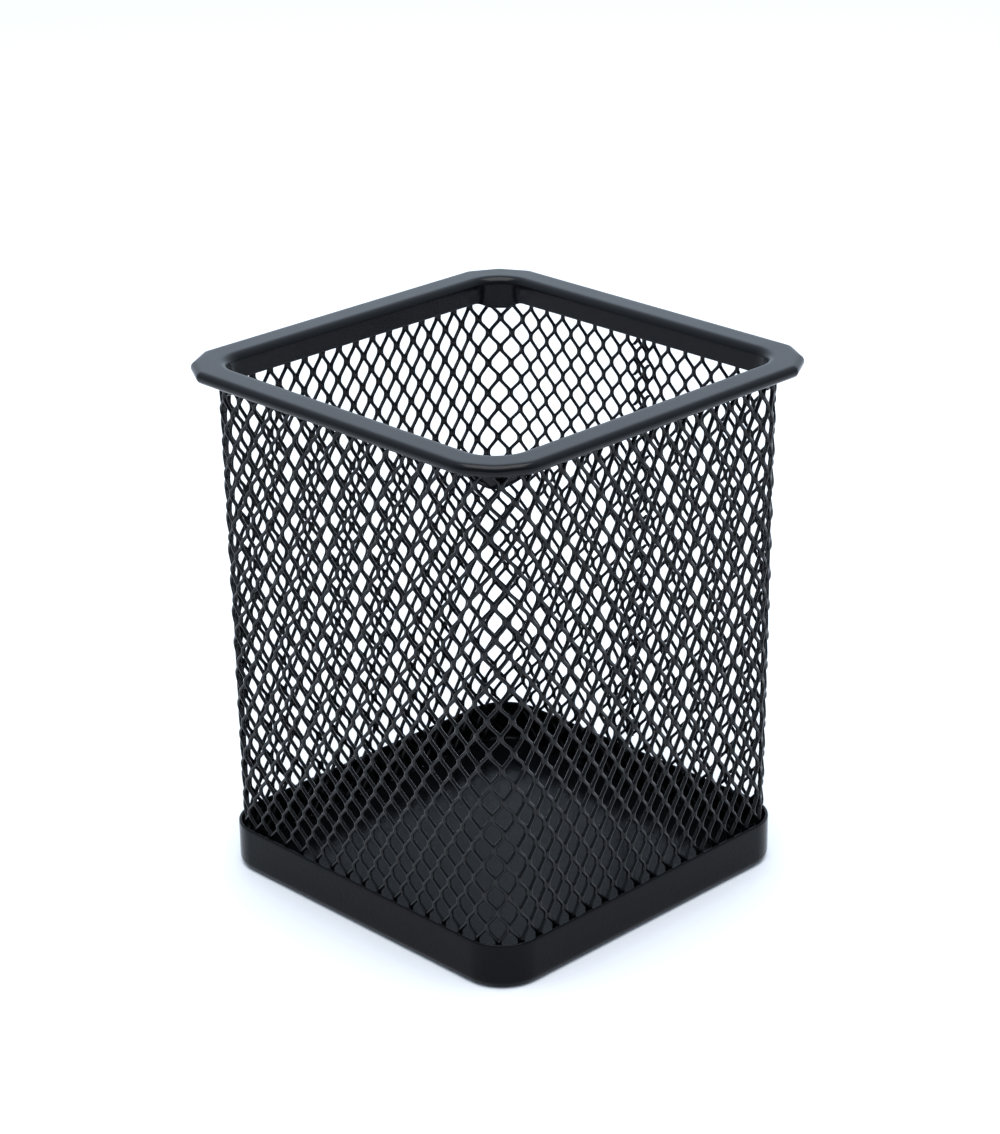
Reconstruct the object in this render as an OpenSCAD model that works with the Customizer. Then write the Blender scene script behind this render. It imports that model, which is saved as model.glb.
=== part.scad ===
// Square desk pen cup: a pressed steel rim collar and a drawn steel base pan,
// joined by a sleeve of expanded steel mesh that is bent round from one sheet.
// The cup stands on z = 0 with its axis on the Z axis. The mesh seam is in the back wall (+Y).
// The sleeve is drawn as four flat walls and four bends, which meet edge to edge.

/* [Cup] */
// Overall height
cup_h = 100; // [80:1:120]
// Thickness of the sheet steel in the rim collar and the base pan
sheet_t = 0.7; // [0.6:0.05:0.8]

/* [Rim collar] */
// Overall width of the collar, side to side
rim_side = 84; // [83:0.5:90]
// Height of the rolled outer edge
rim_roll_h = 2.2; // [1.9:0.1:2.6]
// Width of the strip turned in under the flange
rim_return_w = 1.4; // [1:0.1:1.6]
// Radius of the turn from the flange down into the skirt
rim_turn_r = 1.5; // [1.2:0.1:2.4]
// Depth of the skirt inside the mesh, below the top of the collar
skirt_h = 4.8; // [4:0.1:8]
// How much deeper the skirt is round its four corners
skirt_corner_extra = 1.4; // [0.2:0.1:3]
// How far the two flats across each outer corner are cut in from a sharp corner
rim_corner_cut = 4.4; // [3.6:0.1:5]

/* [Base pan] */
// Overall width of the pan, side to side
base_side = 76; // [72:0.5:77]
// Height of the pan's wall
base_wall_h = 8.8; // [6:0.1:14]
// Outer radius of the pan's upright corners
base_corner_r = 8.5; // [7:0.1:10]
// Radius of the edge between the pan's wall and its floor
base_edge_r = 1.6; // [1:0.1:2.4]

/* [Expanded mesh] */
// Thickness of the mesh sheet, over its raised strands
mesh_t = 0.8; // [0.6:0.05:0.9]
// Width of a strand
strand_w = 0.65; // [0.5:0.05:0.9]
// Width of the unslit strip along the sheet's upper and lower edges
selvage_w = 0.8; // [0.6:0.1:1.2]
// Number of openings side by side round the sleeve
mesh_columns = 66; // [60:6:72]
// Height from one opening to the next one above it
mesh_pitch_z = 6.15; // [5.85:0.15:6.15]
// Width of the strip where the sheet's two ends lap in the back wall
seam_w = 5.6; // [4:0.1:10]
// Place of the middle of that strip, along the back wall
seam_x = -1; // [-10:0.5:10]

/* [Hidden] */
coat_black = [0.13, 0.135, 0.15];
mesh_black = [0.20, 0.205, 0.22];
seam_black = [0.27, 0.275, 0.29];
$fn = 96;
side_turn = 90;

// The pan's wall, the mesh and the collar's skirt nest inside each other and share one bend centre.
mesh_out = base_side / 2 - sheet_t;
mesh_in = mesh_out - mesh_t;
bend_r_out = base_corner_r - sheet_t;
bend_r_in = bend_r_out - mesh_t;
bend_r_mid = bend_r_in + mesh_t / 2;
bend_c = mesh_out - bend_r_out;
flat_w = 2 * bend_c;
skirt_out = mesh_in;
skirt_in = skirt_out - sheet_t;
flange_in = skirt_in + rim_turn_r;
turn_z = cup_h - rim_turn_r;
flange_lap = 0.4;

// The rolled edge is half round, with its middle at roll_z.
roll_r = rim_roll_h / 2;
roll_z = cup_h - roll_r;

// The sleeve reaches from the round inside the pan to the start of the collar's turn.
mesh_z0 = base_edge_r;
mesh_z1 = turn_z;
mesh_h = mesh_z1 - mesh_z0;
sleeve_len = 4 * flat_w + 2 * PI * bend_r_mid;
pitch_s = sleeve_len / mesh_columns;
slit_h = mesh_h - 2 * selvage_w;
rows = ceil(mesh_h / mesh_pitch_z);
bend_len = PI / 2 * bend_r_mid;

// The collar's outline has twelve sides, 30 degrees apart: a long one on each
// side of the cup and two short flats across each corner.
rim_sides = 12;
rim_step = 360 / rim_sides;
flat_dist = rim_side / 2 * (cos(rim_step) + sin(rim_step)) - rim_corner_cut;
function rim_dist(k, inset) = ((k % 3 == 0) ? rim_side / 2 : flat_dist) - inset;
function rim_corner(k, inset) =
    let (a = rim_step * k, b = a + rim_step, p = rim_dist(k, inset), q = rim_dist(k + 1, inset))
    [(p * sin(b) - q * sin(a)) / sin(rim_step), (q * cos(a) - p * cos(b)) / sin(rim_step)];

module rounded_square(half, r) {
    square([2 * (half - r), 2 * half], center = true);
    square([2 * half, 2 * (half - r)], center = true);
    for (sx = [-1, 1], sy = [-1, 1])
        translate([sx * (half - r), sy * (half - r)])
            circle(r);
}

// A block with upright rounded corners of radius r and a round of radius edge_r along its lower edge
module rounded_tray_block(half, r, h, edge_r) {
    translate([0, 0, edge_r])
        linear_extrude(h - edge_r)
            rounded_square(half, r);
    linear_extrude(edge_r)
        rounded_square(half - edge_r, r - edge_r);
    for (q = [0 : 3])
        rotate(side_turn * q) {
            translate([half - edge_r, r - half, edge_r])
                rotate([-90, 0, 0])
                    cylinder(h = 2 * (half - r), r = edge_r);
            translate([half - r, half - r, edge_r])
                rotate_extrude(angle = side_turn)
                    intersection() {
                        translate([r - edge_r, 0])
                            circle(edge_r);
                        translate([0, -edge_r])
                            square([r, edge_r]);
                    }
        }
}

module base_pan() {
    color(coat_black)
        difference() {
            rounded_tray_block(base_side / 2, base_corner_r, base_wall_h, base_edge_r);
            translate([0, 0, sheet_t])
                rounded_tray_block(mesh_out, bend_r_out, base_wall_h, base_edge_r - sheet_t);
        }
}

// Section of the skirt, the turn above it and a short length of flange, measured
// from x = 0 at the skirt's inner face
module skirt_section(h) {
    translate([0, -h])
        square([sheet_t, h - rim_turn_r]);
    translate([rim_turn_r, -sheet_t])
        square([flange_lap, sheet_t]);
    translate([rim_turn_r, -rim_turn_r])
        intersection() {
            difference() {
                circle(rim_turn_r);
                circle(rim_turn_r - sheet_t);
            }
            translate([-rim_turn_r, 0])
                square(rim_turn_r);
        }
}

// Section of the flange, its rolled edge and the strip turned in under it. Each
// point is [distance in from the outline, height]. The flange starts well inside its hole.
roll_steps = 12;
inner_roll_r = roll_r - sheet_t;
flange_start = rim_side / 2 - skirt_in;
flange_section = [
    [flange_start, cup_h],
    for (i = [0 : roll_steps])
        let (a = 90 - 180 * i / roll_steps)
        [roll_r - roll_r * cos(a), roll_z + roll_r * sin(a)],
    [roll_r + rim_return_w, cup_h - rim_roll_h],
    [roll_r + rim_return_w, cup_h - rim_roll_h + sheet_t],
    for (i = [0 : roll_steps])
        let (a = 180 * i / roll_steps - 90)
        [roll_r - inner_roll_r * cos(a), roll_z + inner_roll_r * sin(a)],
    [flange_start, cup_h - sheet_t]
];

// The section carried round the twelve-sided outline, with a mitre at each corner
module flange_ring() {
    n = len(flange_section);
    points = [
        for (p = flange_section, k = [0 : rim_sides - 1])
            let (c = rim_corner(k, p[0]))
            [c[0], c[1], p[1]]
    ];
    faces = [
        for (i = [0 : n - 1], k = [0 : rim_sides - 1])
            let (i2 = (i + 1) % n, k2 = (k + 1) % rim_sides)
            [i * rim_sides + k, i * rim_sides + k2, i2 * rim_sides + k2, i2 * rim_sides + k]
    ];
    polyhedron(points, faces);
}

module rim_flange() {
    hole_half = flange_in + flange_lap / 2;
    difference() {
        flange_ring();
        translate([0, 0, cup_h - rim_roll_h])
            linear_extrude(2 * rim_roll_h)
                rounded_square(hole_half, hole_half - bend_c);
    }
}

// Turn and skirt: straight along the sides, and deeper round the corners
module rim_skirt() {
    for (q = [0 : 3])
        rotate(side_turn * q) {
            translate([skirt_in, bend_c, cup_h])
                rotate([90, 0, 0])
                    linear_extrude(flat_w)
                        skirt_section(skirt_h);
            translate([bend_c, bend_c, cup_h])
                rotate_extrude(angle = side_turn)
                    translate([skirt_in - bend_c, 0])
                        skirt_section(skirt_h + skirt_corner_extra);
        }
}

module rim_collar() {
    color(coat_black) {
        rim_flange();
        rim_skirt();
    }
}

// The opening nearest to column i and row j of the lattice. Columns are half a
// pitch apart, and every other column is set half a pitch higher.
function opening_s(i) = i * pitch_s / 2;
function opening_z(i, j) = mesh_z0 + (j + (i % 2 == 0 ? 0 : 0.5)) * mesh_pitch_z;

// An opening is a diamond, less half a strand on each of its four sides.
half_s = pitch_s / 2;
half_z = mesh_pitch_z / 2;
strand_slope = norm([half_s, half_z]);
open_s = half_s - strand_w / 2 * strand_slope / half_z;
open_z = half_z - strand_w / 2 * strand_slope / half_s;
module opening() {
    polygon([[open_s, 0], [0, open_z], [-open_s, 0], [0, -open_z]]);
}

// One opening at height z, kept clear of the sheet's unslit edges
module slit_opening(z) {
    intersection() {
        translate([0, z])
            opening();
        translate([-pitch_s, mesh_z0 + selvage_w])
            square([2 * pitch_s, slit_h]);
    }
}

// Flat wall of mesh in the XZ plane, width w, whose left edge is at s0 along the sheet
module mesh_plate(s0, w) {
    first = floor(s0 / half_s) - 1;
    last = ceil((s0 + w) / half_s) + 1;
    difference() {
        translate([0, mesh_z0])
            square([w, mesh_h]);
        for (i = [first : last], j = [0 : rows])
            translate([opening_s(i) - s0, 0])
                slit_opening(opening_z(i, j));
    }
}

// Side q of the sleeve, counted anticlockwise from the front. Lengths along the
// sheet are counted from the left end of the front wall.
function side_s0(q) = q * (flat_w + bend_len);
module mesh_side(q) {
    color(mesh_black)
        rotate(side_turn * q)
            translate([-bend_c, -mesh_in, 0])
                rotate([90, 0, 0])
                    linear_extrude(mesh_t)
                        mesh_plate(side_s0(q), flat_w);
}

// Bend between side q and the next one: a quarter of a tube with its openings cut along radii
module mesh_bend(q) {
    s0 = side_s0(q) + flat_w;
    first = floor(s0 / half_s) - 1;
    last = ceil((s0 + bend_len) / half_s) + 1;
    color(mesh_black)
        rotate(side_turn * q)
            translate([bend_c, -bend_c, 0])
                difference() {
                    translate([0, 0, mesh_z0])
                        rotate([0, 0, -side_turn])
                            rotate_extrude(angle = side_turn)
                                translate([bend_r_in, 0])
                                    square([mesh_t, mesh_h]);
                    for (i = [first : last], j = [0 : rows])
                        rotate((opening_s(i) - s0) / bend_len * side_turn - side_turn)
                            translate([bend_r_in - mesh_t, 0, 0])
                                rotate([90, 0, 90])
                                    linear_extrude(3 * mesh_t)
                                        slit_opening(opening_z(i, j));
                }
}

module mesh_front() { mesh_side(0); }
module mesh_right() { mesh_side(1); }
module mesh_back() { mesh_side(2); }
module mesh_left() { mesh_side(3); }
module mesh_bend_front_right() { mesh_bend(0); }
module mesh_bend_back_right() { mesh_bend(1); }
module mesh_bend_back_left() { mesh_bend(2); }
module mesh_bend_front_left() { mesh_bend(3); }

// The sheet's free end, lapped on the inside of the back wall between the collar's skirt and the pan's floor
module mesh_seam_lap() {
    lap_h = cup_h - skirt_h - mesh_z0;
    mid_s = side_s0(2) + flat_w / 2 - seam_x;
    color(seam_black)
        translate([seam_x + seam_w / 2, mesh_in, 0])
            rotate([90, 0, 180])
                mirror([0, 0, 1])
                    linear_extrude(mesh_t)
                        intersection() {
                            mesh_plate(mid_s - seam_w / 2, seam_w);
                            translate([0, mesh_z0])
                                square([seam_w, lap_h]);
                        }
}

base_pan();
rim_collar();
mesh_front();
mesh_right();
mesh_back();
mesh_left();
mesh_bend_front_right();
mesh_bend_back_right();
mesh_bend_back_left();
mesh_bend_front_left();
mesh_seam_lap();
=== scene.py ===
# %% [markdown]
# # A black mesh pen cup
#
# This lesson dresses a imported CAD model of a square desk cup. The real cup is three pieces of thin
# steel: a pressed rim collar, a sleeve of expanded mesh and a drawn base pan, all in one black
# powder coat. The CAD frame says where each piece is and how big it is. Blender only adds the shape
# that the eye sees up close, so every size below is read from the frame or is a small real
# measure in millimetres.

import bpy
import numpy as np
from mathutils import Matrix, Vector


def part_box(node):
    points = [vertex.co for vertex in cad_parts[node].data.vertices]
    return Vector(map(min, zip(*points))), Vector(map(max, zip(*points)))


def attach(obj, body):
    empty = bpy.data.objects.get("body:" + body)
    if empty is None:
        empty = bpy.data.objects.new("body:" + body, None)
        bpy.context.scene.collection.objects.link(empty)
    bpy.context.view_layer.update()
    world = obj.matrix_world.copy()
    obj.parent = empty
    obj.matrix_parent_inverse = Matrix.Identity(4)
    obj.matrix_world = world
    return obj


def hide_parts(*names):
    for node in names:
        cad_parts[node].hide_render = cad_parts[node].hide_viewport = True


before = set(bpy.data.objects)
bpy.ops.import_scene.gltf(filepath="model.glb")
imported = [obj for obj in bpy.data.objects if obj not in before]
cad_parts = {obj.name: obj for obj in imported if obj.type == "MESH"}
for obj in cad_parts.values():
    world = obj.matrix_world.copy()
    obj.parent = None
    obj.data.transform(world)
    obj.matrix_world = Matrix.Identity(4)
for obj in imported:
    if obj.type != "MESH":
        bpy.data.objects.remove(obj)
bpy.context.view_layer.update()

MM = 0.001

# %% [markdown]
# ## Measures that every piece shares
#
# The pan's wall, the mesh and the collar's skirt nest inside each other like three trays, and
# their round corners share one centre. The boxes of the CAD nodes give that centre and every wall.

# %% Read the nested walls from the CAD boxes
pan_low, pan_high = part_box("base_pan")
rim_low, rim_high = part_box("rim_collar")
front_low, front_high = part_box("mesh_front")

CUP_TOP = rim_high.z
RIM_HALF = rim_high.x
PAN_HALF = pan_high.x
PAN_TOP = pan_high.z
BEND_C = front_high.x              # distance of each bend centre from the cup's axis, in X and in Y
MESH_OUT = -front_low.y
MESH_IN = -front_high.y
MESH_MID = (MESH_OUT + MESH_IN) / 2
MESH_Z0, MESH_Z1 = front_low.z, front_high.z
SHEET = PAN_HALF - MESH_OUT        # thickness of the sheet steel
print("sheet, mm:", round(SHEET / MM, 2), "bend centre, mm:", round(BEND_C / MM, 2))

# %% [markdown]
# ## Camera
#
# The cup is seen corner on, from about 23 degrees above, with a long lens that keeps its sides
# nearly parallel. A camera can be aimed with a Track To constraint, but three angles and a distance
# are easier to read and to change. They give the three axes of the camera: backward out of the
# picture, right and up. The camera is rolled by under a degree.

# %% Place the camera
VIEW_FROM = np.radians(45.57)      # turn of the camera round the cup, from -Y towards +X
VIEW_UP = np.radians(22.73)
VIEW_ROLL = np.radians(-0.776)
VIEW_DISTANCE = 563.9 * MM
VIEW_AIM = Vector((0, 0, 59.6 * MM))
LENS = 97.57                       # focal length in millimetres
SENSOR = 36                        # long side of the camera's sensor, in millimetres

level = Vector((np.sin(VIEW_FROM), -np.cos(VIEW_FROM), 0))
backward = level * np.cos(VIEW_UP) + Vector((0, 0, np.sin(VIEW_UP)))
level_right = Vector((0, 0, 1)).cross(backward).normalized()
level_up = backward.cross(level_right)
right = level_right * np.cos(VIEW_ROLL) + level_up * np.sin(VIEW_ROLL)
up = backward.cross(right)

camera_data = bpy.data.cameras.new("camera")
camera_data.lens = LENS
camera_data.sensor_width = SENSOR
camera_data.clip_start = 10 * MM
camera = bpy.data.objects.new("camera", camera_data)
bpy.context.scene.collection.objects.link(camera)
turn = Matrix((right, up, backward)).transposed().to_4x4()
camera.matrix_world = Matrix.Translation(VIEW_AIM + backward * VIEW_DISTANCE) @ turn
bpy.context.scene.camera = camera
print("camera at, mm:", [round(v / MM, 1) for v in camera.matrix_world.translation])

# %% [markdown]
# ## Helpers for surfaces
#
# Each new piece is a grid of points. Rows follow the section of the metal and columns go round the
# cup, so one function turns a stack of rows into a mesh. A stack can close on itself like a tyre,
# or end in a single point at the middle of a disc. from_pydata would take plain lists of points and
# faces, but foreach_set takes whole arrays, and the mesh below has several hundred thousand faces.

# %% Turn a stack of rows into a mesh object
def link_mesh(name, points, faces):
    """Mesh object from an (n, 3) array of points and a list of (m, 3) or (m, 4) face arrays."""
    mesh = bpy.data.meshes.new(name)
    corners = np.concatenate([f.ravel() for f in faces])
    sizes = np.concatenate([np.full(len(f), f.shape[1]) for f in faces])
    starts = np.concatenate([[0], np.cumsum(sizes)[:-1]])
    mesh.vertices.add(len(points))
    mesh.vertices.foreach_set("co", np.asarray(points, np.float32).ravel())
    mesh.loops.add(len(corners))
    mesh.loops.foreach_set("vertex_index", corners.astype(np.int32))
    mesh.polygons.add(len(sizes))
    mesh.polygons.foreach_set("loop_start", starts.astype(np.int32))
    mesh.polygons.foreach_set("use_smooth", np.ones(len(sizes), bool))
    mesh.update(calc_edges=True)
    mesh.validate()
    piece = bpy.data.objects.new(name, mesh)
    bpy.context.scene.collection.objects.link(piece)
    return piece


def ring_grid(rows, columns, close_rows):
    """Quads of a grid whose columns close on themselves; with close_rows its rows do too."""
    last = rows if close_rows else rows - 1
    i, j = np.meshgrid(np.arange(last), np.arange(columns), indexing="ij")
    i2, j2 = (i + 1) % rows, (j + 1) % columns
    quads = np.stack([i * columns + j, i * columns + j2, i2 * columns + j2, i2 * columns + j], -1)
    return quads.reshape(-1, 4)


def ring_surface(name, grid, close_rows):
    """Surface through grid[row, column, xyz]. An open stack gets one point in the middle of each end."""
    rows, columns = grid.shape[:2]
    points = grid.reshape(-1, 3)
    faces = [ring_grid(rows, columns, close_rows)]
    if not close_rows:
        around = np.arange(columns)
        after = (around + 1) % columns
        first, last = rows * columns, rows * columns + 1
        points = np.concatenate([points, grid[:1].mean(1), grid[-1:].mean(1)])
        end = (rows - 1) * columns
        faces.append(np.stack([after, around, np.full(columns, first)], -1))
        faces.append(np.stack([end + around, end + after, np.full(columns, last)], -1))
    return link_mesh(name, points, faces)


def arc(centre, radius, start, stop, steps):
    """Points on a circle arc in the (distance, height) plane, from angle start to stop in degrees."""
    a = np.radians(np.linspace(start, stop, steps))
    return np.stack([centre[0] + radius * np.cos(a), centre[1] + radius * np.sin(a)], -1)


print("quads of three rows with four columns:", len(ring_grid(3, 4, close_rows=False)))

# %% [markdown]
# ## Going round the cup
#
# A station is a place on the way round: a point of the inner square and the direction that the
# wall faces there. A wall at any distance is the point plus that distance along the direction.
# That keeps all the walls parallel, in the flats and in the bends, where scaling one outline up and
# down would make them thicker in one place than in another.

# %% Stations round the rounded square
FLAT_STEPS = 12                    # stations along each flat
VERTEX_STEPS = 5                   # stations round each blunt corner of the collar's outline
FACET_STEPS = 3                    # stations along each short flat of that outline
BEND_STEPS = 3 * VERTEX_STEPS + 2 * FACET_STEPS


def stations():
    """For each station: side number, share of the way along the flat (-1 to 1) and angle into the bend."""
    along = np.concatenate([np.linspace(-1, 1, FLAT_STEPS + 2)[1:-1], np.ones(BEND_STEPS)])
    bend = np.concatenate([np.zeros(FLAT_STEPS), np.linspace(0, np.pi / 2, BEND_STEPS)])
    side = np.repeat(np.arange(4), len(along))
    return side, np.tile(along, 4), np.tile(bend, 4)


side, along, bend = stations()
side_angle = -np.pi / 2 + side * np.pi / 2      # the front wall faces -Y
facing = side_angle + bend
OUTWARD = np.stack([np.cos(facing), np.sin(facing)], -1)
side_out = np.stack([np.cos(side_angle), np.sin(side_angle)], -1)
side_way = np.stack([-np.sin(side_angle), np.cos(side_angle)], -1)
INNER_SQUARE = BEND_C * (side_out + along[:, None] * side_way)


def wall_ring(half, height):
    """Closed row of points on the rounded square at distance half from the axis, at one height or many."""
    plan = INNER_SQUARE + (half - BEND_C) * OUTWARD
    return np.column_stack([plan, np.broadcast_to(height, len(plan))])


print("stations round the cup:", len(side))

# %% [markdown]
# ## Rim collar
#
# The collar is one pressing. Its outer edge is rolled under for safe hands, and the roll can't
# follow a tight curve, so each outer corner is folded in two short flats. Inside, the metal turns
# down into a skirt that covers the cut edge of the mesh. A plane with Solidify and Bevel would give
# one radius everywhere, so the collar is worked out row by row instead. The outline is a
# twelve-sided shape, with sides 30 degrees apart, so a point of it is where two neighbouring sides
# cross. The corner at the front right is rounder than the others.

# %% The collar's outline
RIM_STEP = np.pi / 6
VERTEX_R = 1.5 * MM                # how blunt the outline's corners are
ROUNDER_R = 6.5 * MM               # and at the cup's front right corner
ROUNDER_SIDES = (-3, -2, -1)       # outline sides whose corner with the next side is that round
CORNER_CUT = 4.4 * MM              # how far the short flats are cut in from a sharp corner
FACET_DISTANCE = RIM_HALF * (np.cos(RIM_STEP) + np.sin(RIM_STEP)) - CORNER_CUT


def outline_corner(k, inset):
    """Where outline side k crosses side k + 1, both moved in by inset: two lines solved together."""
    a, b = k * RIM_STEP, (k + 1) * RIM_STEP
    p = np.where(k % 3 == 0, RIM_HALF, FACET_DISTANCE) - inset
    q = np.where((k + 1) % 3 == 0, RIM_HALF, FACET_DISTANCE) - inset
    return np.stack([p * np.sin(b) - q * np.sin(a), q * np.cos(a) - p * np.cos(b)], -1) / np.sin(RIM_STEP)


def outline_ring(inset, height):
    """Closed row on the outline moved in by inset. Each corner is a short arc, and the stations between
    two corners lie evenly on the straight side that joins them."""
    k = np.arange(-3, 9)           # the first side is the front one
    radius = np.where(np.isin(k, ROUNDER_SIDES), ROUNDER_R, VERTEX_R)
    centre = outline_corner(k, inset + radius)
    angle = (k[:, None] + np.linspace(0, 1, VERTEX_STEPS)) * RIM_STEP
    arcs = centre[:, None] + radius[:, None, None] * np.stack([np.cos(angle), np.sin(angle)], -1)
    start, stop = np.roll(arcs, 1, axis=0)[:, -1], arcs[:, 0]
    parts = []
    for m in range(len(k)):
        steps = FLAT_STEPS if m % 3 == 0 else FACET_STEPS
        share = np.linspace(0, 1, steps + 2)[1:-1, None]
        parts += [start[m] + share * (stop[m] - start[m]), arcs[m]]
    plan = np.concatenate(parts)
    return np.column_stack([plan, np.broadcast_to(height, len(plan))])


print("stations on the outline:", len(outline_ring(0, CUP_TOP)))

# %% [markdown]
# The section below goes once round the sheet's thickness: down the roll, back under the flange
# and round the skirt. The skirt is a little deeper in the corners, where the press could not
# stretch the metal, and its lower edge curls in slightly beside each corner.

# %% The collar's section, carried round the cup
ROLL_R = 1.12 * MM                 # outer radius of the rolled edge
RETURN = 1.4 * MM                  # strip turned in under the flange
TURN_R = 1.5 * MM                  # radius between flange and skirt
SKIRT_H = 4.8 * MM
SKIRT_EXTRA = CUP_TOP - SKIRT_H - rim_low.z
SKIRT_IN = MESH_IN - SHEET
FLAP_TURN = np.radians(38)         # turn of the bend over which the skirt deepens
CURL = 0.22 * MM                   # how far the lower edge curls in beside a corner
CURL_AT = np.radians(27)           # turn of the bend at which it curls most, from either side
CURL_WIDTH = np.radians(8)
EDGE_SOFT = 0.1 * MM               # how far the cut edges are rounded

rest_of_bend = np.pi / 2 - bend
share = np.clip(np.minimum(bend, rest_of_bend) / FLAP_TURN, 0, 1)
SKIRT_FOOT = CUP_TOP - SKIRT_H - SKIRT_EXTRA * share ** 2 * (3 - 2 * share)
CURL_PLACES = sum(np.exp(-((turned - CURL_AT) / CURL_WIDTH) ** 2) for turned in (bend, rest_of_bend))


def skirt_ring(half, down, lift):
    """Row on the skirt, a share of the way down from the turn to the foot, which lies lift above the
    skirt's edge. The curl grows with the fourth power of that share."""
    top = CUP_TOP - TURN_R
    height = top + (SKIRT_FOOT + lift - top) * down
    ring = wall_ring(half, height)
    ring[:, :2] -= OUTWARD * (CURL * CURL_PLACES * down ** 4)[:, None]
    return ring


def between(outer, inner, shares):
    """Rows on straight lines between two rows, at each share of the way from the first to the second."""
    return [outer + (inner - outer) * share for share in shares]


def collar_rows():
    """Rows of the collar's section: from the skirt's foot up its inside, over the flange, round the roll,
    back under the flange and down the skirt's outside."""
    turn_at = SKIRT_IN + TURN_R
    turn = (turn_at, CUP_TOP - TURN_R)
    roll = (0, CUP_TOP - ROLL_R)
    strip_z = CUP_TOP - 2 * ROLL_R
    soft = 0.2 * SHEET
    rows = [skirt_ring(SKIRT_IN + soft, 1, 0)]
    rows += [skirt_ring(SKIRT_IN, s, EDGE_SOFT) for s in (1, 0.9, 0.75, 0.5, 0.25)]
    rows += [wall_ring(d, z) for d, z in arc(turn, TURN_R, 180, 90, 9)]
    rows += between(rows[-1], outline_ring(ROLL_R, CUP_TOP), (0.15, 0.5, 0.85))
    rows += [outline_ring(ROLL_R - d, z) for d, z in arc(roll, ROLL_R, 90, -90, 15)]
    rows += [outline_ring(ROLL_R + RETURN - EDGE_SOFT, strip_z)]
    rows += [outline_ring(ROLL_R + RETURN, z) for z in (strip_z + soft, strip_z + SHEET - soft)]
    rows += [outline_ring(ROLL_R - d, z) for d, z in arc(roll, ROLL_R - SHEET, -90, 90, 9)]
    rows += between(rows[-1], wall_ring(turn_at, CUP_TOP - SHEET), (0.3, 0.7))
    rows += [wall_ring(d, z) for d, z in arc(turn, TURN_R - SHEET, 90, 180, 7)]
    rows += [skirt_ring(SKIRT_IN + SHEET, s, EDGE_SOFT) for s in (0.3, 0.6, 1)]
    rows += [skirt_ring(SKIRT_IN + SHEET - soft, 1, 0)]
    return np.stack(rows[::-1])    # listed backwards, so that the faces point out of the metal


collar = ring_surface("rim_collar_pressed", collar_rows(), close_rows=True)
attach(collar, "root")
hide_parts("rim_collar")
print("collar faces:", len(collar.data.polygons))

# %% [markdown]
# ## Base pan
#
# The pan is drawn from a flat blank. Its wall stands outside the mesh, and the drawing die leaves
# every edge round: the upright corners, the lower edge, the cut upper edge and the fillet inside.
# A cube with Solidify and Bevel could be a tray, but each round here has its own radius, so the pan
# is a stack of rows too. It starts at the middle of the underside and ends at the middle of the floor.

# %% The pan's section, carried round the cup
EDGE_R = 1.6 * MM                  # round of the lower edge
LIP_R = SHEET / 2                  # the cut upper edge is a full round
DISC_SHARES = (0.02, 0.2, 0.4, 0.6, 0.8, 0.9, 0.97)   # rings of a flat disc, from its middle out


def disc_rings(half, height, shares):
    """Rows of a flat disc: the ring at distance half, shrunk towards the axis by each share."""
    ring = wall_ring(half, height)
    return [ring * (share, share, 1) for share in shares]


def pan_rows():
    """Rows of the pan's section, from the underside's middle, up the wall, over the lip and down to the
    floor."""
    edge = (PAN_HALF - EDGE_R, EDGE_R)
    lip = (PAN_HALF - LIP_R, PAN_TOP - LIP_R)
    rise = lip[1] - EDGE_R
    rows = disc_rings(edge[0], 0, DISC_SHARES)
    rows += [wall_ring(d, z) for d, z in arc(edge, EDGE_R, -90, 0, 9)]
    rows += [wall_ring(PAN_HALF, EDGE_R + rise * s) for s in (0.25, 0.5, 0.75, 0.92)]
    rows += [wall_ring(d, z) for d, z in arc(lip, LIP_R, 0, 180, 9)]
    rows += [wall_ring(MESH_OUT, EDGE_R + rise * s) for s in (0.8, 0.5, 0.2)]
    rows += [wall_ring(d, z) for d, z in arc(edge, EDGE_R - SHEET, 0, -90, 7)]
    rows += disc_rings(edge[0], SHEET, DISC_SHARES[::-1])
    return np.stack(rows)


pan = ring_surface("base_pan_drawn", pan_rows(), close_rows=False)
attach(pan, "root")
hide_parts("base_pan")
print("pan faces:", len(pan.data.polygons))

# %% [markdown]
# ## Expanded mesh
#
# Expanded metal starts as a sheet with rows of short slits. Pulling it sideways opens the slits
# into diamonds. What is left between two slit lines is one long ribbon that swings left and
# right: it joins its right-hand neighbour, then its left-hand one, and so on up the sheet. The
# pull also turns each ribbon out of the sheet, like the slats of a blind, so the mesh looks thin
# from one side and thick from the other. Building it ribbon by ribbon gives all of that from one
# formula, with no holes to cut.

# %% How a ribbon swings
PITCH_S = 4.232 * MM               # from one opening to the next beside it
PITCH_Z = 6.15 * MM                # from one opening to the next above it
RIBBON_S = PITCH_S / 2
STRAND_W = 0.64 * MM               # across the sheet
JOINT_STEP = 0.45 * MM             # between the middles of two joined strands
STRAND_T = 0.74 * MM               # through the sheet, with its coat
STRAND_EDGE = 0.17 * MM            # the coat rounds off this much of a strand's edges
STRAND_TURN = np.radians(43)       # turn of the strand out of the sheet
BOND_SHARE = 0.33                  # part of each half swing for which two ribbons stay joined
BOND_SHARPNESS = 6.2               # how suddenly a strand leaves a joint
BOND_GROWTH = 0.2                  # paint fills the forks and makes the joints this much wider
FORK = 0.5                         # share of the swing at which the extra paint starts

BEND_MID_R = MESH_MID - BEND_C     # radius of a bend, to the middle of the mesh
STRETCH_R = 0.21 * MM              # the mesh stretches in a bend, as if its radius were this much less
BEND_RUN_R = BEND_MID_R - STRETCH_R
SIDE_RUN = 2 * BEND_C + np.pi / 2 * BEND_RUN_R
ROUND = 4 * SIDE_RUN               # length of the sleeve, once round the cup


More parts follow.
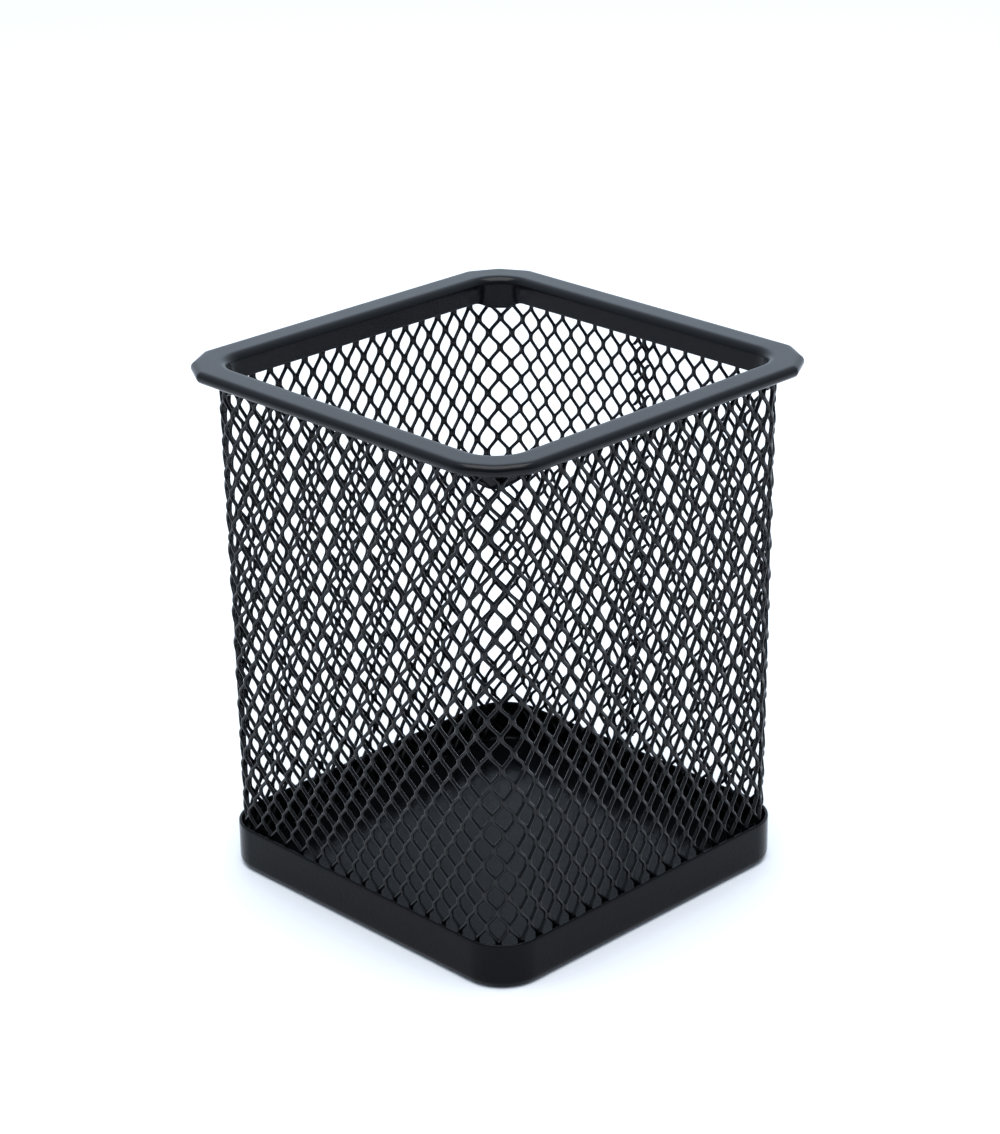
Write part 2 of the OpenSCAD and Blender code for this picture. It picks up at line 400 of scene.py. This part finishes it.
def soften(x):
    """Close to x where x is small, and levelling off at 1 and -1: x / (1 + |x|^p)^(1/p)."""
    return x / (1 + np.abs(x) ** BOND_SHARPNESS) ** (1 / BOND_SHARPNESS)


def swing(phase):
    """Triangle wave of period 1 whose tips are levelled off, scaled to reach +1, where the ribbon is joined
    on its right, and -1, where it is joined on its left."""
    triangle = 1 - 4 * np.abs((phase + 0.5) % 1 - 0.5)
    tip = 1 / (1 - BOND_SHARE)
    return soften(triangle * tip) / soften(tip)


def wrap(s, out, z):
    """Point at length s along the sheet, distance out from its middle and height z, bent round the cup."""
    run = s % ROUND
    number = np.floor(run / SIDE_RUN)
    rest = run - number * SIDE_RUN
    flat = np.clip(rest, 0, 2 * BEND_C) - BEND_C
    start = -np.pi / 2 + number * np.pi / 2
    face = start + np.clip(rest - 2 * BEND_C, 0, None) / BEND_RUN_R
    radius = BEND_MID_R + out
    x = BEND_C * np.cos(start) - flat * np.sin(start) + radius * np.cos(face)
    y = BEND_C * np.sin(start) + flat * np.cos(start) + radius * np.sin(face)
    return np.stack([x, y, z], -1)


print("sheet once round the cup, mm:", round(ROUND / MM, 1))

# %% [markdown]
# The sheet isn't flat. Its foot is pressed in by the pan, its head is pushed out by the skirt, and
# between them each wall stands out like a sail, with its rows sagging in the middle. The sheet's two
# ends lap in the back wall, and there the first ribbons lie inside the last ones. A Lattice or a
# Cloth modifier could bend a flat mesh like this, but a formula for the sheet's distance from its
# flat wall puts every strand in place at once.

# %% The shape of the sheet
BOND_S = BEND_C + 1.38 * MM        # one joint between two ribbons, measured along the sheet
BOND_Z = 5.42 * MM                 # and its height
PULL_LEAN = -0.032                 # lean of the columns of openings, because the sheet was pulled askew
ROW_SAG = 0.3 * MM                 # the rows hang this much lower in the middle of a wall
SEAM_FROM = 1.8 * MM               # x where the sheet starts, on the back wall
SEAM_TO = -3.8 * MM                # x where it ends
BACK_MIDDLE = 2 * SIDE_RUN + BEND_C
FIRST = int(np.ceil((BACK_MIDDLE - ROUND - SEAM_FROM - BOND_S) / RIBBON_S))
LAST = int(np.floor((BACK_MIDDLE - SEAM_TO - BOND_S) / RIBBON_S))
LAP_STEP = 0.95 * MM               # distance between the two layers of the lap
LAP_EASE = 4 * MM                  # length of sheet over which a layer moves in or out
BULGE = 1.85 * MM                  # the middle of each wall stands out by this much, at half height
FOOT_OUT = -0.4 * MM               # the pan presses the foot of the mesh in
HEAD_OUT = 0.35 * MM               # and the skirt pushes its head out


def free_height(z):
    """Share of the way from the pan's lip up to the skirt's edge at height z, held between 0 and 1."""
    return np.clip((z - PAN_TOP) / (CUP_TOP - SKIRT_H - PAN_TOP), 0, 1)


def wall_shape(s, z):
    """Distance that the sheet stands out of its flat walls, and how much its rows sag, at s and height z.
    Both follow a parabola across the wall, and the bulge half a sine wave up it as well."""
    rise = free_height(z)
    middle = 1 - np.clip(s % SIDE_RUN / BEND_C - 1, -1, 1) ** 2
    lean = FOOT_OUT + (HEAD_OUT - FOOT_OUT) * rise
    return lean + BULGE * middle * np.sin(np.pi * rise), ROW_SAG * middle


def lap_shift(s, z):
    """Distance out of the wall that keeps the lap's two layers apart. The sheet's first end is the inner
    layer and its last end the outer one. Low down the pan holds the outer layer, so the inner one steps
    in; at the top the skirt holds the inner layer, so the outer one steps out."""
    rise = free_height(z)
    inner = np.clip(1 - (s - (BACK_MIDDLE - ROUND - SEAM_TO)) / LAP_EASE, 0, 1)
    outer = np.clip(1 - (BACK_MIDDLE - SEAM_FROM - s) / LAP_EASE, 0, 1)
    return LAP_STEP * (outer * rise - inner * (1 - rise))


print("ribbons:", LAST - FIRST, "lap, mm:", round((SEAM_FROM - SEAM_TO) / MM, 1))

# %% [markdown]
# A strand's section is a flat bar with its edges taken off, because the coat rounds them. That makes
# eight corners. The bar gets wider, measured level, where the ribbon runs at a slant, so that the
# strand itself keeps its width. An Array modifier could repeat one diamond, but the ribbons of a
# bulging wall are all a little different, so every ribbon gets its own points.

# %% The points of a ribbon
CORNER_W = np.array([1, 1, 1, 1, -1, -1, -1, -1])        # side of the bar that a corner lies on, across it
CORNER_T = np.array([-1, -1, 1, 1, 1, 1, -1, -1])        # and through it
CUT_W = np.array([1, 0, 0, 1, -1, 0, 0, -1])             # corners that the rounding brings in, across it
CUT_T = np.array([0, -1, 1, 0, 0, 1, -1, 0])             # and through it
STEP_SHARES = np.array([0, 0.1, 0.17, 0.24, 0.32, 0.5, 0.68, 0.76, 0.83, 0.9])   # of each half swing


def strand_corners(width, slope):
    """Where a strand's eight corners lie beside its middle: lengths along the sheet, distances out of it.
    The bar is turned by STRAND_TURN, and its width measured level grows by the root of 1 + slope ** 2."""
    across = CORNER_W * width[..., None] / 2 - CUT_W * STRAND_EDGE
    through = CORNER_T * STRAND_T / 2 - CUT_T * STRAND_EDGE
    stretch = np.sqrt(1 + slope ** 2)[..., None]
    along_sheet = across * stretch * np.cos(STRAND_TURN) - through * np.sin(STRAND_TURN)
    out_of_sheet = across * np.sin(STRAND_TURN) + through * np.cos(STRAND_TURN)
    return along_sheet, out_of_sheet


def ribbon_points(number, heights):
    """Points of ribbons, [ribbon, height, corner, xyz], from ribbon numbers and an array of heights with one
    row for each ribbon, or one row for all. The middle of ribbon n is half a ribbon past joint n, plus the
    swing; it dips in while it swings right and stands out while it swings left."""
    n = number[:, None]
    q = swing((heights - BOND_Z) / PITCH_Z + 0.5 * ((n + 1) % 2))
    z = np.broadcast_to(heights, q.shape)
    reach = (RIBBON_S - JOINT_STEP * np.cos(STRAND_TURN)) / 2
    slope = np.gradient(q * reach, axis=1) / np.gradient(heights, axis=1)
    s = BOND_S + (n + 0.5) * RIBBON_S + q * reach + PULL_LEAN * (z - CUP_TOP / 2)
    stand, sag = wall_shape(s, z)
    out = stand + lap_shift(s, z) - q * JOINT_STEP / 2 * np.sin(STRAND_TURN)
    growth = 1 + BOND_GROWTH * np.clip((np.abs(q) - FORK) / (1 - FORK), 0, 1) ** 2
    beside, away = strand_corners(growth * STRAND_W, slope)
    level = np.broadcast_to(np.clip(z - sag, MESH_Z0, MESH_Z1)[..., None], beside.shape)
    return wrap(s[..., None] + beside, out[..., None] + away, level)


def ribbon_heights(low, high):
    """Heights at which a ribbon is sampled: closer together round the joined stretches."""
    half = PITCH_Z / 2
    count = int(np.ceil((high - low) / half)) + 2
    start = np.floor((low - BOND_Z) / half)
    heights = ((start + np.arange(count))[:, None] + STEP_SHARES).ravel() * half + BOND_Z
    heights = heights[(heights > low) & (heights < high)]
    return np.concatenate([[low], heights, [high]])


heights = ribbon_heights(MESH_Z0, MESH_Z1)[None, :]
print("points up each ribbon:", heights.size, "at", len(CORNER_W), "corners")

# %% [markdown]
# Each ribbon becomes a closed tube with a flat face at both ends. A curve with a bevel object could
# carry the same section, but its section turns with the curve, and a strand's keeps its angle to the
# sheet.

# %% Ribbons as tubes
def tubes(grid):
    """Points and faces of closed tubes through grid[tube, row, corner, xyz], with a face at each end. Each
    quad of the grid is listed the other way round, so that it points out of the tube."""
    count, rows, corners = grid.shape[:3]
    base = (np.arange(count) * rows * corners)[:, None, None]
    loop = np.arange(corners)
    ends = np.stack([loop, (rows - 1) * corners + loop[::-1]])
    side_faces = (ring_grid(rows, corners, close_rows=False)[None, :, ::-1] + base).reshape(-1, 4)
    return grid.reshape(-1, 3), side_faces, (ends[None] + base).reshape(-1, corners)


def mesh_piece(name, grids):
    """One mesh object of the tubes through several grids."""
    points, sides, caps, total = [], [], [], 0
    for grid in grids:
        p, f, e = tubes(grid)
        points.append(p)
        sides.append(f + total)
        caps.append(e + total)
        total += len(p)
    return link_mesh(name, np.concatenate(points), [np.concatenate(sides), np.concatenate(caps)])


print("quads along one ribbon:", len(tubes(ribbon_points(np.array([0]), heights))[1]))

# %% [markdown]
# The sheet is cut to length straight up, through its openings. The strands that led to the next
# ribbon are left as short prongs, two at each joint, which stand along both edges of the lap.

# %% Prongs along the cut edges
PRONG_SHARE = 0.27                 # how far a prong goes on from the joint's middle, as a share of the pitch
PRONG_STEPS = np.linspace(-PRONG_SHARE, PRONG_SHARE, 11) * PITCH_Z


def prongs(number, joined_left):
    """Short stretches of one ribbon, round the heights where it is joined on its left, or on its right."""
    middle = 0.5 * ((number + 1) % 2) + (0.5 if joined_left else 0)
    first = BOND_Z - middle * PITCH_Z
    lowest = np.ceil((PAN_TOP - first) / PITCH_Z)
    highest = np.floor((CUP_TOP - SKIRT_H - first) / PITCH_Z)
    row = np.arange(lowest, highest + 1)
    heights = (first + row * PITCH_Z)[:, None] + PRONG_STEPS
    return ribbon_points(np.full(len(row), number), heights)


print("prong, mm:", round(2 * PRONG_SHARE * PITCH_Z / MM, 2))

# %% [markdown]
# Each wall's piece takes the ribbons whose middle lies on that wall and on the bend after it. The
# back wall has both ends of the sheet, so its piece takes ribbons from both.

# %% The four walls of mesh
WALLS = [
    ("front", ("mesh_front", "mesh_bend_front_right")),
    ("right", ("mesh_right", "mesh_bend_back_right")),
    ("back", ("mesh_back", "mesh_bend_back_left", "mesh_seam_lap")),
    ("left", ("mesh_left", "mesh_bend_front_left")),
]
ribbons = np.arange(FIRST, LAST)
wall_of = ((BOND_S + (ribbons + 0.5) * RIBBON_S) % ROUND // SIDE_RUN).astype(int)
mesh_pieces = []
for number, (wall, nodes) in enumerate(WALLS):
    grids = [ribbon_points(ribbons[wall_of == number], heights)]
    if wall == "back":
        grids += [prongs(FIRST - 1, joined_left=False), prongs(LAST, joined_left=True)]
    piece = mesh_piece("mesh_strands_" + wall, grids)
    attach(piece, "root")
    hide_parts(*nodes)
    mesh_pieces.append(piece)
print("ribbons on each wall:", np.bincount(wall_of))
print("mesh faces:", sum(len(piece.data.polygons) for piece in mesh_pieces))

# %% [markdown]
# ## Finishes
#
# Powder coat is a polyester paint, baked on. It is a plastic skin over the steel, so it is not
# metallic: black below, with a clear reflection on top that is strong only at a low angle. Seen
# close, the film has an orange peel, fine ripples that break the edge of every reflection. The peel
# could be an image, but a noise in the object's own millimetres has the right size on every piece,
# needs no unwrapping and never repeats.

# %% Colour and node helpers
def srgb(hex_colour):
    """Linear RGBA from an sRGB hex string, by the standard's two-part curve."""
    c = np.array([int(hex_colour[i:i + 2], 16) for i in (1, 3, 5)]) / 255
    linear = np.where(c <= 0.04045, c / 12.92, ((c + 0.055) / 1.055) ** 2.4)
    return (*linear, 1.0)


def add_node(tree, kind, settings=None, links=None):
    """Adds a node, sets its inputs and properties by name, and links inputs from other sockets."""
    node = tree.nodes.new(kind)
    for key, value in (settings or {}).items():
        if key in node.inputs:
            node.inputs[key].default_value = value
        else:
            setattr(node, key, value)
    for key, socket in (links or {}).items():
        tree.links.new(socket, node.inputs[key])
    return node


print("middle grey, linear:", round(float(srgb("#808080")[0]), 3))

# %% Black powder coat
FLOW_SIZE = 9 * MM                 # width of the slow changes in the film
NOISE_LOW, NOISE_HIGH = 0.3, 0.7   # most of a noise lies between these
SMOOTHEST, ROUGHEST = 0.85, 1.2    # roughness where the film flowed well and where it didn't, as shares
PAINT_IOR = 1.5                    # polyester


def powder_coat(name, colour, roughness, reflection, peel_mm, peel_depth_mm, grain_depth_mm):
    """Baked black powder coat. Orange peel of peel_mm across gives soft ripples in reflections, a grain
    half as wide gives its fine speckle, and slow changes of roughness stand for the film's uneven flow.
    A noise of scale 1 / size has lumps about that size across. A reflection of 0.5 is that of clean
    glossy paint, and less of it is duller."""
    material = bpy.data.materials.new(name)
    material.use_nodes = True
    tree = material.node_tree
    tree.nodes.clear()
    place = add_node(tree, "ShaderNodeTexCoord").outputs["Object"]
    peel_scale = 1 / (peel_mm * MM)
    peel = add_node(tree, "ShaderNodeTexNoise", {"Scale": peel_scale, "Detail": 2.0}, {"Vector": place})
    grain = add_node(tree, "ShaderNodeTexNoise", {"Scale": 2 * peel_scale, "Detail": 1.0}, {"Vector": place})
    flow = add_node(tree, "ShaderNodeTexNoise", {"Scale": 1 / FLOW_SIZE, "Detail": 3.0}, {"Vector": place})
    rough = add_node(
        tree, "ShaderNodeMapRange",
        {
            "From Min": NOISE_LOW, "From Max": NOISE_HIGH,
            "To Min": roughness * SMOOTHEST, "To Max": roughness * ROUGHEST,
        },
        {"Value": flow.outputs["Fac"]},
    )
    ripple = add_node(
        tree, "ShaderNodeBump",
        {"Strength": 1.0, "Distance": peel_depth_mm * MM},
        {"Height": peel.outputs["Fac"]},
    )
    bump = add_node(
        tree, "ShaderNodeBump",
        {"Strength": 1.0, "Distance": grain_depth_mm * MM},
        {"Height": grain.outputs["Fac"], "Normal": ripple.outputs["Normal"]},
    )
    shader = add_node(
        tree, "ShaderNodeBsdfPrincipled",
        {"Base Color": srgb(colour), "IOR": PAINT_IOR, "Specular IOR Level": reflection},
        {"Roughness": rough.outputs["Result"], "Normal": bump.outputs["Normal"]},
    )
    add_node(tree, "ShaderNodeOutputMaterial", links={"Surface": shader.outputs["BSDF"]})
    return material


# The collar's coat is semi-gloss: its level flange mirrors the sky as one soft grey plane.
coat_pressed = powder_coat(
    "black_powder_coat_pressed_steel", "#0a0b0e", roughness=0.22, reflection=0.18,
    peel_mm=1.1, peel_depth_mm=0.010, grain_depth_mm=0.001,
)
# The pan's coat is smoother but reflects less, and its deep grain blurs what the floor mirrors.
coat_pan = powder_coat(
    "black_powder_coat_drawn_pan", "#090a0c", roughness=0.14, reflection=0.09,
    peel_mm=0.9, peel_depth_mm=0.010, grain_depth_mm=0.03,
)
# The mesh's coat wraps thin strands, and their edges catch the light as fine bright lines.
coat_mesh = powder_coat(
    "black_powder_coat_expanded_mesh", "#0b0c0e", roughness=0.24, reflection=0.25,
    peel_mm=0.7, peel_depth_mm=0.010, grain_depth_mm=0.001,
)
collar.data.materials.append(coat_pressed)
pan.data.materials.append(coat_pan)
for piece in mesh_pieces:
    piece.data.materials.append(coat_mesh)
print("finishes:", [coat.name for coat in (coat_pressed, coat_pan, coat_mesh)])

# %% [markdown]
# ## Studio
#
# The cup stands on white paper under one large softbox. A black cup is seen by what it mirrors, so
# the room matters more than the light: the sky is dim on the camera's side and brightest beyond the
# cup. Seen from the camera, a level face mirrors the sky there, so the flange turns grey while the
# walls that face the camera stay black. White cards round the cup could do the same.

# %% Paper floor
FLOOR_R = 3.0                      # metres
FLOOR_STEPS = 96
FLOOR_SHARES = (1, 0.5, 0.1)       # radii of its rings of points, as shares


def disc_floor(radius):
    """Flat round floor: rings of points about the cup's axis, and one point in the middle."""
    angle = np.linspace(0, 2 * np.pi, FLOOR_STEPS, endpoint=False)
    circle = radius * np.stack([np.cos(angle), np.sin(angle), 0 * angle], -1)
    points = np.concatenate([circle * share for share in FLOOR_SHARES] + [np.zeros((1, 3))])
    rows = len(FLOOR_SHARES)
    around = np.arange(FLOOR_STEPS)
    after = (around + 1) % FLOOR_STEPS
    inner = (rows - 1) * FLOOR_STEPS
    hub = np.stack([inner + around, inner + after, np.full(FLOOR_STEPS, rows * FLOOR_STEPS)], -1)
    return link_mesh("floor", points, [ring_grid(rows, FLOOR_STEPS, close_rows=False), hub])


floor = disc_floor(FLOOR_R)
floor_paint = bpy.data.materials.new("matt_white_paper")
floor_paint.use_nodes = True
paper = floor_paint.node_tree.nodes["Principled BSDF"]
paper.inputs["Base Color"].default_value = srgb("#f4f6fa")
paper.inputs["Roughness"].default_value = 0.8
floor.data.materials.append(floor_paint)
print("floor, m across:", 2 * FLOOR_R)

# %% [markdown]
# The sky's strength is worked out from its direction. The dot product of two directions is 1 where
# they agree and -1 where they are opposite, and a map range turns that into a strength.

# %% Sky and softbox
SKY_DIM, SKY_BRIGHT = 0.05, 1.5    # strengths on the camera's side and beyond the cup
BOX_PLACE = Vector((0.12, -0.12, 1.0))
BOX_SIZE = 0.9                     # metres
BOX_POWER = 11                     # watts

world = bpy.data.worlds.new("studio")
bpy.context.scene.world = world
world.use_nodes = True
sky = world.node_tree
beyond = Vector((-backward.x, -backward.y, backward.z))
toward = add_node(sky, "ShaderNodeVectorMath", {"operation": "DOT_PRODUCT"})
sky.links.new(add_node(sky, "ShaderNodeTexCoord").outputs["Generated"], toward.inputs[0])
toward.inputs[1].default_value = beyond.normalized()
glow = add_node(
    sky, "ShaderNodeMapRange",
    {"From Min": -1.0, "From Max": 1.0, "To Min": SKY_DIM, "To Max": SKY_BRIGHT},
    {"Value": toward.outputs["Value"]},
)
sky.links.new(glow.outputs["Result"], sky.nodes["Background"].inputs["Strength"])
sky.nodes["Background"].inputs["Color"].default_value = srgb("#dfeeff")


def soft_light(name, place, size, power, colour):
    """Square area light that faces the cup's middle."""
    data = bpy.data.lights.new(name, "AREA")
    data.energy = power
    data.size = size
    data.color = srgb(colour)[:3]
    light = bpy.data.objects.new(name, data)
    bpy.context.scene.collection.objects.link(light)
    light.location = place
    to_cup = Vector((0, 0, CUP_TOP / 2)) - place
    light.rotation_euler = to_cup.to_track_quat("-Z", "Y").to_euler()
    return light


softbox = soft_light("overhead_softbox", BOX_PLACE, BOX_SIZE, BOX_POWER, "#ffffff")
bpy.context.scene.view_settings.view_transform = "Standard"
print("softbox at, m:", [round(v, 2) for v in softbox.location])
